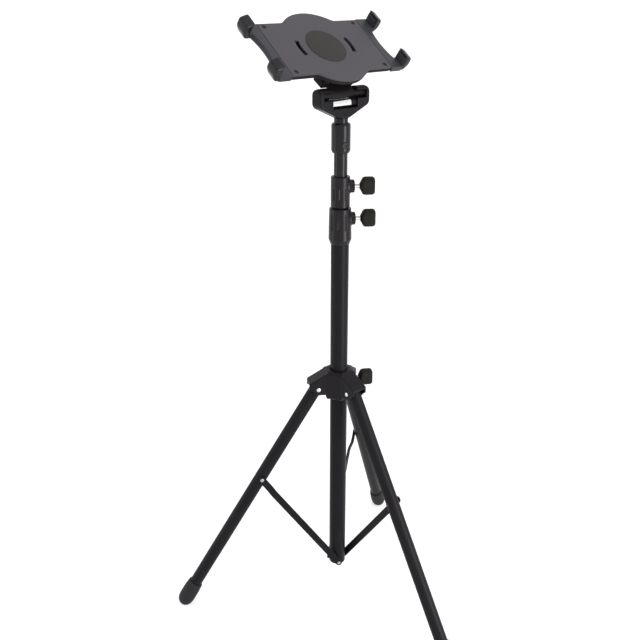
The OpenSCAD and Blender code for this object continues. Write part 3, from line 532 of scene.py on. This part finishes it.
# Each screw starts behind its pad and ends inside its knob
PAD_BACK, KNOB_OUT, SCREW_IN_KNOB, SCREW_R, SCREW_PITCH = 3.75, 7, 10, 2.9, 1.0
for name, clamp, tube_r, boss_end in (("lower", LOWER_CLAMP, MID_R, LOWER_BOSS),
                                      ("upper", UPPER_CLAMP, UPPER_R, UPPER_BOSS),
                                      ("hub", HUB_CLAMP, COLUMN_R, HUB_BOSS)):
    piece(name + "_wing", knob, name + "_knob", "knob_plastic", name + "_knob",
          matrix=clamp @ move(boss_end + KNOB_OUT, 0, 0), sharp=50)
    screw = threaded(tube_r + PAD_BACK, boss_end + KNOB_OUT + SCREW_IN_KNOB, SCREW_R, SCREW_PITCH)
    piece(name + "_thread", screw, name + "_knob", "chrome", name + "_screw", matrix=clamp, sharp=60,
          coat=MAT["steel"])


# Head sleeve with a rounded shoulder, a tapered foot and the set screw's boss and hole
SET_SCREW_Z, SET_SCREW_TURN = 11, -106


def sleeve_field(p):
    r, z = np.hypot(p[:, 0], p[:, 1]), p[:, 2]
    f = both(r - np.interp(z, [0, 3.6, SLEEVE_LEN], [11.6, 13.0, 13.0]), z - SLEEVE_LEN, 3.2)
    f = both(f, -z, 0.5)
    f = either(f, d_rod(p, (9, 0, SET_SCREW_Z), (13.7, 0, SET_SCREW_Z), 4.0, 0.5), 0.6)
    f = without(f, r - 9.36, 0.4)
    return without(f, d_rod(p, (0, 0, SET_SCREW_Z), (20, 0, SET_SCREW_Z), 2.55), 0.4)


sleeve = moulded(sleeve_field, (-13.8, -13.8, -0.8), (14.4, 13.8, 40.4), 0.7)
piece("sleeve_body", sleeve, "head", "satin_black", "head_sleeve",
      matrix=at_clamp(SLEEVE_BOTTOM, SET_SCREW_TURN), sharp=50, coat=POLISHED)


# Yoke, from the tilt axis
def yoke_field(p):
    x, y, z = p.T
    side = np.abs(x)
    slope = ((side - UPPER_R) * 15 - (z + YOKE_RISE) * 33.7) / math.hypot(15, 33.7)
    front = both(both(both(side - 43, z - 9.5, 6.0), slope, 5.0), -YOKE_RISE - z, 0.5)
    thick = np.where(z > 0, np.hypot(y, z), np.abs(y)) - 9.5
    f = both(front, thick, 2.6)
    f = without(f, d_box(p, (0, -10, -1.34), (37, 9, 5.26)), 0.5)
    f = either(f, d_rod(p, (-37.2, 0, 0), (37.2, 0, 0), 5.6), 0.3)
    f = either(f, d_rod(p, (0, 0, TUBE_TOP + 1 - TILT_Z), (0, 0, -28), UPPER_R, 0.4), 3.0)
    gap = either(d_box(p, (0, -7.15, 13.1), (21.3, 11.85, 30.9)), d_box(p, (0, 0, 18.4), (21.3, 19, 25)))
    return without(f, gap, 0.6)


yoke = moulded(yoke_field, (-44, -10.4, -54), (44, 10.4, 10.4), 0.8)
piece("yoke_body", yoke, "head", "black_plastic", "head_yoke", matrix=move(0, 0, TILT_Z), sharp=45,
      coat=HUB_COAT)

# Polished skin of the yoke's neck, above the sleeve
NECK_R, NECK_BORE = 9.42, 8.4
neck = [(NECK_R, YOKE_BOTTOM + 1.5), (NECK_R, SLEEVE_TOP - 3), (NECK_BORE, SLEEVE_TOP - 3.2),
        (NECK_BORE, YOKE_BOTTOM + 1.7), (NECK_R, YOKE_BOTTOM + 1.5)]
piece("yoke_neck", lathe(neck, 72), "head", "satin_black", "head_yoke", coat=POLISHED)


# Bracket behind the plate, in the plate's frame
def bracket_field(p):
    x, v, n = p.T
    arm = [(-60.5, -21.4), (-28.5, -11.5), (-12, -11.5), (-12, -15), (-24, -19), (-54.5, -29.5), (-59.5, -27)]
    plan = [(-1, -70.7), (18, -70.7), (18, -47.5), (27.2, -47.5), (34, -35.5), (24, -12), (-1, -12)]
    f = both(d_outline(v, n, arm), d_outline(np.abs(x), v, plan), 1.5)
    f = either(f, d_rod(p, (0, 0, -14), (0, 0, -9.3), 30, 1.0), 1.5)
    f = either(f, d_rod(p, (-20, -CENTRE_UP, -CENTRE_OUT), (20, -CENTRE_UP, -CENTRE_OUT), 5.6, 0.4), 0.6)
    f = without(f, d_rod(p, (-25, -CENTRE_UP, -CENTRE_OUT), (25, -CENTRE_UP, -CENTRE_OUT), 2.56))
    return without(f, d_rod(p, (0, 0, -18), (0, 0, -8), SWIVEL_HOLE_R), 0.3)


bracket = moulded(bracket_field, (-35, -66, -33.5), (35, 31, -8.5), 0.9)
piece("bracket_body", bracket, "bracket", "black_plastic", "swivel_bracket", matrix=HOLDER, sharp=45)


# Plate, cover and their small pieces, in the plate's frame
def plate_loop(inset):
    half_l, half_h, r = PLATE_L / 2 - inset, PLATE_H / 2 - inset, BULGE_D / 2 - inset
    fy = half_h + PLATE_FILLET
    fx = math.sqrt((r + PLATE_FILLET) ** 2 - fy ** 2)
    a = math.degrees(math.atan2(fy, fx))
    top = (arc(fx, fy, PLATE_FILLET, -90, a - 180, 8) + arc(0, 0, r, a, 180 - a, 40)[1:-1]
           + arc(-fx, fy, PLATE_FILLET, -a, -90, 8))
    right_end, left_end = [(half_l, -half_h), (half_l, half_h)], [(-half_l, half_h), (-half_l, -half_h)]
    return right_end + top + left_end + [(-x, -y) for x, y in top]


def ring_slot(middle):
    half_turn = 18
    outer = arc(0, 0, 46, middle - half_turn, middle + half_turn, 14)
    inner = arc(0, 0, 40, middle + half_turn, middle - half_turn, 14)
    return list(reversed(outer + inner))


def round_hole(x, y, r, sides):
    return list(reversed(arc(x, y, r, 0, 360 - 360 / sides, sides - 1)))


spots = [(sx * SCREW_X, sy * SCREW_Y) for sx in (-1, 1) for sy in (-1, 1)]
holes = [ring_slot(0), ring_slot(180)] + [round_hole(x, y, 3.06, 24) for x, y in spots]
piece("plate_front", slab([plate_loop(0)] + holes, -3, 0, 0.55), "holder", "plate_grey", "front_plate",
      matrix=HOLDER, sharp=50, flat=True)
# The cover's edge lies a little inside the plate's, and its two channels take the jaws' tongues
COVER_INSET, CHANNEL_X, CHANNEL_Y = 0.8, 8, 20.3
cover_end = PLATE_L / 2 - COVER_INSET
loop = plate_loop(COVER_INSET)
cut = next(i for i, q in enumerate(loop) if q[0] < -80 and q[1] > 0) + 1
channel = [(cover_end, -CHANNEL_Y), (CHANNEL_X, -CHANNEL_Y), (CHANNEL_X, CHANNEL_Y), (cover_end, CHANNEL_Y)]
rails = loop[:1] + channel + loop[1:cut] + [(-x, -y) for x, y in channel] + loop[cut:]
cover = joined(slab([loop, round_hole(0, 0, SWIVEL_HOLE_R, 36)], -9, -5.98, 1.2),
               slab([rails, round_hole(0, 0, 7.3, 36)], -6.05, -3.02, 0.2))
piece("cover_back", cover, "holder", "black_plastic", "rear_cover", matrix=HOLDER, sharp=50, flat=True)
PAD_FLAT_R, PAD_EDGE = 28.6, 0.6
pad_edge = [(PAD_FLAT_R + PAD_EDGE * math.sin(a), 0.2 + PAD_EDGE * math.cos(a)) for a in (0.5, 1.0, 1.5)]
pad = lathe([(0, 0.8), (PAD_FLAT_R, 0.8)] + pad_edge + [(29.2, 0.0), (0, 0.0)], 96)
piece("middle_pad", pad, "holder", "pad_brown", "centre_pad", matrix=HOLDER)


def screw_field(p):
    x, y, z = p.T
    dome = both(np.sqrt(x * x + y * y + (z + 8.3) ** 2) - 8.3, np.hypot(x, y) - 2.9, 0.3)
    f = both(dome, -1.1 - z, 0.1)
    cross = either(d_box(p, (0, 0, 0), (1.7, 0.4, 0.75)), d_box(p, (0, 0, 0), (0.4, 1.7, 0.75)))
    return without(f, cross, 0.1)


head = moulded(screw_field, (-3.3, -3.3, -1.4), (3.3, 3.3, 0.3), 0.28)
shank = lathe([(0, -1.0), (1.45, -1.0), (1.45, -7.0), (0, -7.2)], 20)
screws = joined(*[placed(joined(head, shank), move(x, y, 0)) for x, y in spots])
piece("plate_screw_set", screws, "holder", "satin_black", "plate_screws", matrix=HOLDER, coat=DARK_SCREW)
COIL_START, COIL_LEN, COIL_R, COIL_Z, COIL_STEPS, COIL_TURN = 9.2, 37.6, 0.95, -4.6, 260, 0.6
coil = [(COIL_START + COIL_LEN * k / COIL_STEPS, COIL_R * math.cos(k * COIL_TURN),
         COIL_Z + COIL_R * math.sin(k * COIL_TURN)) for k in range(COIL_STEPS + 1)]
wire = swept(coil, 0.22, 6)
piece("jaw_coils", joined(wire, placed(wire, MIRROR)), "holder", "steel", "jaw_springs", matrix=HOLDER,
      coat=DARK_SCREW)


# Jaw on the +X side of the plate
def jaw_field(p):
    u, v, n = p.T
    waist = 100 - np.hypot(u - 198.4, v)
    bar = both(both(d_box(p, (95.5, 0, -4), (9.9, 48, 4), 0.6), waist, 3.0), u - 105, 0.5)
    f = either(bar, d_box(p, (87.3, 0, -6), (2.7, 45.9, 1.8), 0.3))
    side = curved([(102, -8, 0), (110.5, -8, 2.5), (116, 0.96, 3.5), (115.5, 11.9, 3), (105.5, 16, 0.8),
                   (GRIP_U, 15.5, 0.4), (GRIP_U, 14.5, 0), (104.5, 13, 0), (104.5, 0, 0), (102, 0, 0)])
    for centre in (-HOOK_V, HOOK_V):
        hook = both(d_outline(u, n, side), np.abs(v - centre) - 10, 3.2)
        f = either(f, hook, 0.8)
    return either(f, d_box(p, (66.9, 0, -4.5), (19.5, 20, 1.3), 0.3))


jaw = moulded(jaw_field, (46.5, -49, -9), (117, 49, 17), 0.9)
# Faces of the hooks, which take the darker copy of the jaw plastic as painted shade
spots_on_jaw = np.array(jaw[0])[np.array(jaw[1])].mean(1)
hook_shade_faces = [int(k) for k in np.flatnonzero((spots_on_jaw[:, 2] > 0.6) | (spots_on_jaw[:, 0] > 104.8))]
pad_box = slab([[(-8, 0.6), (8, 0.6), (8, 12.4), (-8, 12.4)]], 0, GRIP_PAD_T, 0.35)
stand = Matrix(((0, 0, 1, GRIP_U), (1, 0, 0, 0), (0, 1, 0, 0), (0, 0, 0, 1)))
pads = joined(*[placed(pad_box, move(0, v, 0) @ stand) for v in (-HOOK_V, HOOK_V)])
for name, side in (("left", HOLDER @ MIRROR), ("right", HOLDER)):
    body = piece(name + "_jaw_body", jaw, name + "_jaw", "jaw_blue_grey", name + "_jaw", matrix=side,
                 sharp=45)
    body.data.materials.append(HOOK_SHADE_COAT)
    for k in hook_shade_faces:
        body.data.polygons[k].material_index = 1
    piece(name + "_grip_pads", pads, name + "_jaw", "rubber", name + "_jaw_pads", matrix=side, coat=PAD_COAT)


# Hub, from the height of the leg pivots: a ring with an arm at each leg and a web half way between two arms
COS_60, SIN_60 = 0.5, 0.8660254


def hub_field(p):
    top, bottom, ring_r = 26.6, -16.4, 19.3
    ring = both(both(np.hypot(p[:, 0], p[:, 1]) - ring_r, p[:, 2] - top, 1.5), bottom - p[:, 2], 1.0)
    f, slots = ring, None
    for angle in LEGS.values():
        a = math.radians(angle)
        x = p[:, 0] * math.cos(a) + p[:, 1] * math.sin(a)
        y = p[:, 1] * math.cos(a) - p[:, 0] * math.sin(a)
        z = p[:, 2]
        shape = d_outline(x, z, [(-1, top), (17.3, 25.6), (46.1, 9), (46.1, 0), (HUB_R, -9.9), (22.3, -9.9),
                                 (ring_r, bottom), (-1, bottom)])
        shape = np.minimum(shape, np.hypot(x - HUB_R, z) - 9.3)
        arm = both(shape, np.abs(y) - 13.65, 2.4)
        f = either(f, arm, 1.2)
        out, along = x * COS_60 + y * SIN_60, y * COS_60 - x * SIN_60
        web = d_outline(out, z, [(-1, top), (COLUMN_R, top), (22.1, 24), (22.1, -13.8), (ring_r, bottom),
                                 (-1, bottom)])
        f = either(f, both(web, np.abs(along) - 11.98, 1.0), 1.6)
        below = np.minimum(np.maximum(20.1 - x, z), np.maximum(HUB_R - x, z - 6))
        room = np.minimum(np.hypot(x - HUB_R, z) - 12.4, np.maximum(below, -60 - z))
        room = np.maximum(room, np.abs(y) - 10.05)
        slots = room if slots is None else np.minimum(slots, room)
    a = math.radians(HUB_CLAMP_TURN)
    way = np.array((math.cos(a), math.sin(a), 0))
    up = np.array((0, 0, HUB_SCREW_RISE))
    f = either(f, d_rod(p, up + 12 * way, up + HUB_BOSS * way, BOSS_R, BOSS_EDGE), 1.5)
    f = without(f, slots, 0.7)
    f = without(f, np.hypot(p[:, 0], p[:, 1]) - 13.3, 0.8)
    f = without(f, d_rod(p, up, up + 19 * way, 4.5), 0.2)
    return without(f, d_rod(p, up + 18.95 * way, up + 30 * way, NUT_ROOM_R), 0.4)


hub = moulded(hub_field, (-48, -48, -18), (48, 48, 28), 1.0)
piece("hub_body", hub, "hub", "black_plastic", "leg_hub", matrix=move(0, 0, HUB_Z), sharp=45, coat=HUB_COAT)


# Domed rivets, along +Z from z0 to the top of the head
RIVET_R, DOME_H, DOME_FOOT = 2.2, 1.1, 0.3
DOME_ANGLES = (1.571, 1.25, 0.95, 0.65, 0.35, 0.0)


def rivet(z0, z1, foot_head=False, head=3.3):
    dome = [(head * math.cos(a), z1 + DOME_FOOT + DOME_H * math.sin(a)) for a in DOME_ANGLES]
    outline = dome + [(head, z1), (RIVET_R, z1)]
    if foot_head:
        outline += [(r, z0 + z1 - z) for r, z in reversed(outline)]
    else:
        outline += [(RIVET_R, z0), (0, z0)]
    return lathe([(r if r > 0.01 else 0, z) for r, z in outline], 36)


LYING = turn("X", -90)
for name in LEGS:
    at_leg = turn("Z", LEGS[name])
    piece(name + "_pivot_rivet", rivet(-13.7, 13.7, True), "hub", "steel", "hub_rivets",
          matrix=at_leg @ move(HUB_R, 0, HUB_Z) @ LYING)
    piece(name + "_foot_rivet", rivet(6.2, 15.6, head=2.7), "column", "steel", "column_rivets",
          matrix=at_leg @ move(0, 0, BRACE_FOOT_Z) @ LYING, coat=RIVET_STEEL)
    ends = rivet(-9.6, 12.4, head=2.9)
    near = placed(rivet(-6, 9.6, head=2.9), turn("X", 180))
    piece(name + "_brace_rivet", joined(ends, near), name + "_leg", "steel", name + "_leg_rivet",
          matrix=at_pivot(name) @ move(0, 0, -BRACE_ON_LEG) @ LYING,
          coat=DARK_SCREW if name == "front" else RIVET_STEEL)


# Rubber foot, in the leg's frame, with the floor's flat
FOOT_R, FOOT_LEN, FOOT_BELLY, FOOT_WAIST, FOOT_ROUND = 12.5, 44, 0.45, 6, 0.57


def foot_field(p):
    r, z = np.hypot(p[:, 0], p[:, 1]), p[:, 2] + LEG_LEN
    t = np.clip(1 - z / FOOT_LEN, 0, 1)
    above = FOOT_R - FOOT_WAIST * (FOOT_BELLY - t) ** 2
    rounding = (np.maximum(t - FOOT_BELLY, 0) / FOOT_ROUND) ** 4
    half = np.where(t < FOOT_BELLY, above, FOOT_R * np.sqrt(np.maximum(1 - rounding, 0)))
    f = (r - half) * 0.8
    f = both(f, z - FOOT_LEN, 0.9)
    f = both(f, -z, 0.6)
    rim = np.hypot(r - 12.6, z - 38.5) - 1.0
    f = without(f, rim, 0.3)
    f = without(f, both(r - 9.54, 20 - z), 0.2)
    height = HUB_Z + p[:, 0] * SPLAY_SIN + p[:, 2] * SPLAY_COS
    return both(f, 0.05 - height, 0.6)


foot = moulded(foot_field, (-13.6, -13.6, -LEG_LEN - 1), (13.6, 13.6, -LEG_LEN + 45.5), 0.8)


# Brace strip standing on edge, with round ends and a smooth joggle towards the leg
def brace_strip():
    verts = []
    half_w, edge = BRACE_W / 2, 0.45
    at_column, at_leg, joggle_start, joggle_len = COLUMN_R + GAP, LEG_R + GAP, 173, 16
    stations = [(-5.24, 0.4), (-4.9, 1.9), (-4.2, 3.15), (-3.0, 4.3), (-1.5, 5.03), (0, half_w)]
    along = stations + [(s, half_w) for s in np.linspace(8, 197, 48)]
    along += [(BRACE_LEN - s, w) for s, w in reversed(stations)]
    for s, w in along:
        t = min(1, max(0, (s - joggle_start) / joggle_len))
        y = at_column + (at_leg - at_column) * t * t * (3 - 2 * t)
        e = min(edge, w * 0.4)
        section = [(-w, e), (-w + e, 0), (w - e, 0), (w, e),
                   (w, BRACE_T - e), (w - e, BRACE_T), (-w + e, BRACE_T), (-w, BRACE_T - e)]
        verts += [(x, y + d, s) for x, d in section]
    return verts, skin(len(along), len(section))


strip = brace_strip()
for name in LEGS:
    piece(name + "_rubber_foot", foot, name + "_leg", "rubber", name + "_foot",
          matrix=at_pivot(name), sharp=45)
    piece(name + "_brace_strip", strip, name + "_brace", "satin_black", name + "_brace",
          matrix=at_brace(name), sharp=30)

# Plug at the column's lower end
PLUG_EDGE, PLUG_LEN, PLUG_R = 2, 18, 11.2
dome = [(COLUMN_R - PLUG_EDGE + PLUG_EDGE * math.cos(a), PLUG_EDGE - PLUG_EDGE * math.sin(a))
        for a in (0, 0.4, 0.8, 1.2, 1.57)]
plug = lathe([(0, PLUG_LEN), (PLUG_R, PLUG_LEN), (PLUG_R, PLUG_EDGE)] + dome + [(0, 0)], 72)
piece("column_end", plug, "column", "black_plastic", "column_plug", matrix=move(0, 0, COLUMN_BOTTOM))

# Camera of the photograph
VIEW, PITCH, LENS = math.radians(-40.3), math.radians(22), 47.77
CAMERA_RIGHT, CAMERA_BACK, CAMERA_UP = -0.02777, 1.13763, 0.9293
right = Vector((math.cos(VIEW), math.sin(VIEW), 0))
toward = Vector((math.sin(VIEW), -math.cos(VIEW), 0))
cam_data = bpy.data.cameras.new("camera")
cam_data.lens = LENS
cam_data.sensor_width = 36
cam = bpy.data.objects.new("camera", cam_data)
scene.collection.objects.link(cam)
cam.location = right * CAMERA_RIGHT + toward * CAMERA_BACK + Vector((0, 0, CAMERA_UP))
cam.rotation_euler = (math.pi / 2 - PITCH, 0, VIEW)
scene.camera = cam

# Stage: a wide floor that keeps the shadow, and a surround that is white where it is seen and brighter above
FLOOR_LIFT, FLOOR_GREY, FLOOR_HALF = 0.47, 0.55, 80


def seen_rays(tree):
    """Node that gives 1 for rays that show a background: the camera's and those seen in metal or glass."""
    path = tree.nodes.new("ShaderNodeLightPath")
    seen = None
    for ray in ("Is Camera Ray", "Is Glossy Ray", "Is Transmission Ray"):
        step = tree.nodes.new("ShaderNodeMath")
        step.operation = "MAXIMUM"
        step.inputs[1].default_value = 0.0
        tree.links.new(path.outputs[ray], step.inputs[0])
        if seen:
            tree.links.new(seen.outputs[0], step.inputs[1])
        seen = step
    return seen


def floor_plane():
    mesh = bpy.data.meshes.new("floor")
    h = FLOOR_HALF
    mesh.from_pydata([(-h, -h, 0), (h, -h, 0), (h, h, 0), (-h, h, 0)], [], [(0, 1, 2, 3)])
    o = bpy.data.objects.new("floor", mesh)
    scene.collection.objects.link(o)
    m = bpy.data.materials.new("floor")
    m.use_nodes = True
    t = m.node_tree
    b = t.nodes["Principled BSDF"]
    b.inputs["Base Color"].default_value = (FLOOR_GREY, FLOOR_GREY, FLOOR_GREY, 1)
    b.inputs["Roughness"].default_value = 0.9
    b.inputs["Specular IOR Level"].default_value = 0.0
    b.inputs["Emission Color"].default_value = (1, 1, 1, 1)
    lift = t.nodes.new("ShaderNodeMath")
    lift.operation = "MULTIPLY"
    lift.inputs[1].default_value = FLOOR_LIFT
    t.links.new(seen_rays(t).outputs[0], lift.inputs[0])
    t.links.new(lift.outputs[0], b.inputs["Emission Strength"])
    mesh.materials.append(m)


floor_plane()
world = bpy.data.worlds.new("studio")
scene.world = world
world.use_nodes = True
tree = world.node_tree
sky = tree.nodes["Background"]
sky.inputs["Color"].default_value = (1, 1, 1, 1)
ray = tree.nodes.new("ShaderNodeTexCoord")
facing = tree.nodes.new("ShaderNodeVectorMath")
facing.operation = "DOT_PRODUCT"
facing.inputs[1].default_value = (toward * 0.12 + right * 0.15 + Vector((0, 0, 0.95))).normalized()
level = tree.nodes.new("ShaderNodeMapRange")
level.interpolation_type = "SMOOTHSTEP"
for key, value in (("From Min", -0.2), ("From Max", 0.95), ("To Min", 0.12), ("To Max", 1.6)):
    level.inputs[key].default_value = value
tree.links.new(ray.outputs["Generated"], facing.inputs[0])
tree.links.new(facing.outputs["Value"], level.inputs["Value"])
white = tree.nodes.new("ShaderNodeMix")
white.inputs["B"].default_value = 1.0
tree.links.new(seen_rays(tree).outputs[0], white.inputs["Factor"])
tree.links.new(level.outputs["Result"], white.inputs["A"])
tree.links.new(white.outputs["Result"], sky.inputs["Strength"])


def sky_lamp(name, side, up, strength, soft):
    """Soft distant lamp, at degrees to the right of the camera and above the floor."""
    data = bpy.data.lights.new(name, "SUN")
    data.energy = strength
    data.angle = math.radians(soft)
    o = bpy.data.objects.new(name, data)
    scene.collection.objects.link(o)
    a, e = math.radians(side), math.radians(up)
    way = (toward * math.cos(a) + right * math.sin(a)) * math.cos(e) + Vector((0, 0, math.sin(e)))
    o.rotation_euler = way.to_track_quat("Z", "Y").to_euler()


def strip_lamp(name, side, distance, width, low, high, power):
    """Upright strip of light standing at the given degrees to the right of the camera's direction."""
    data = bpy.data.lights.new(name, "AREA")
    data.shape = "RECTANGLE"
    data.size, data.size_y = width, high - low
    data.energy = power
    o = bpy.data.objects.new(name, data)
    scene.collection.objects.link(o)
    a = math.radians(side)
    way = toward * math.cos(a) + right * math.sin(a)
    o.location = way * distance + Vector((0, 0, (low + high) / 2))
    o.rotation_euler = way.to_track_quat("Z", "Y").to_euler()


sky_lamp("key", side=50, up=50, strength=0.4, soft=50)
strip_lamp("right_strip", side=50, distance=0.8, width=0.3, low=0.02, high=0.75, power=5.2)
strip_lamp("left_strip", side=-78, distance=0.85, width=0.2, low=0.02, high=0.6, power=0.86)
